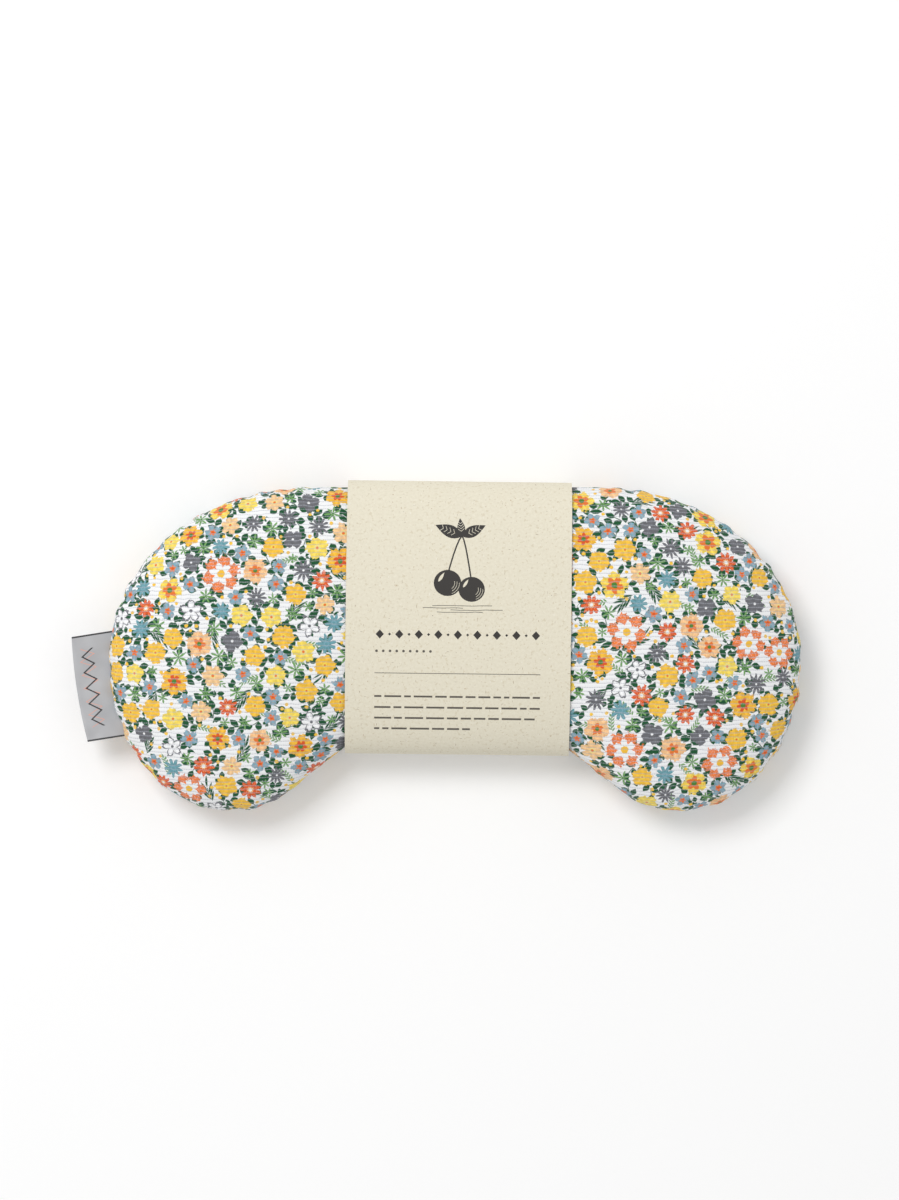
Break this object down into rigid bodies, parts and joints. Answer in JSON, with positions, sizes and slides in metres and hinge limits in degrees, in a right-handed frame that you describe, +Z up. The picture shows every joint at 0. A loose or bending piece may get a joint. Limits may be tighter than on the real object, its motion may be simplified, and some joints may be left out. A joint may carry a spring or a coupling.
{
  "type": "eye pillow",
  "caption": "Two-lobed eye pillow with a nose notch, of printed cotton filled with cherry stones, with a folded side label and a paper band round its waist.",
  "frame": {"origin": "under the middle of the whole thing, on the table: the bottom centre of its bounding box", "axes": "+X along the length, towards the end without a label; +Y towards the forehead edge; +Z up, towards the front panel"},
  "size_m": [0.2414, 0.1094, 0.0319],
  "materials": {
    "front_panel": "printed ribbed cotton",
    "back_panel": "printed ribbed cotton",
    "seam_needle_thread": "polyester sewing thread",
    "seam_bobbin_thread": "polyester sewing thread",
    "closing_stitches": "polyester sewing thread",
    "stones_left_lobe": "washed and dried cherry stones",
    "stones_waist": "washed and dried cherry stones",
    "stones_right_lobe": "washed and dried cherry stones",
    "label_sewn_ends": "woven satin ribbon",
    "label_loop": "woven satin ribbon",
    "paper_band": "uncoated flecked paper",
    "band_glue": "dried glue"
  },
  "bodies": {
    "cushion": {"front_panel": "front_panel", "back_panel": "back_panel", "seam_needle_thread": "seam_needle_thread", "seam_bobbin_thread": "seam_bobbin_thread", "closing_stitches": "closing_stitches", "stones_left_lobe": "stones_left_lobe", "stones_waist": "stones_waist", "stones_right_lobe": "stones_right_lobe", "label_sewn_ends": "label_sewn_ends"},
    "label": {"label_loop": "label_loop"},
    "band": {"paper_band": "paper_band", "band_glue": "band_glue"}
  },
  "joints": [
    {"name": "label_flap", "type": "hinge", "parent": "cushion", "child": "label", "pos_m": [-0.10803, -0.01423, 0.014], "axis": [-0.1547, 0.988, 0], "range_deg": [-75, 75], "stiffness_Nm_per_rad": 0.0004},
    {"name": "band_slide", "type": "slide", "parent": "cushion", "child": "band", "axis": [1, 0, 0], "range_m": [0, 0.155], "deforming": ["front_panel", "back_panel", "seam_needle_thread", "seam_bobbin_thread", "closing_stitches", "stones_left_lobe", "stones_waist", "stones_right_lobe"]}
  ]
}
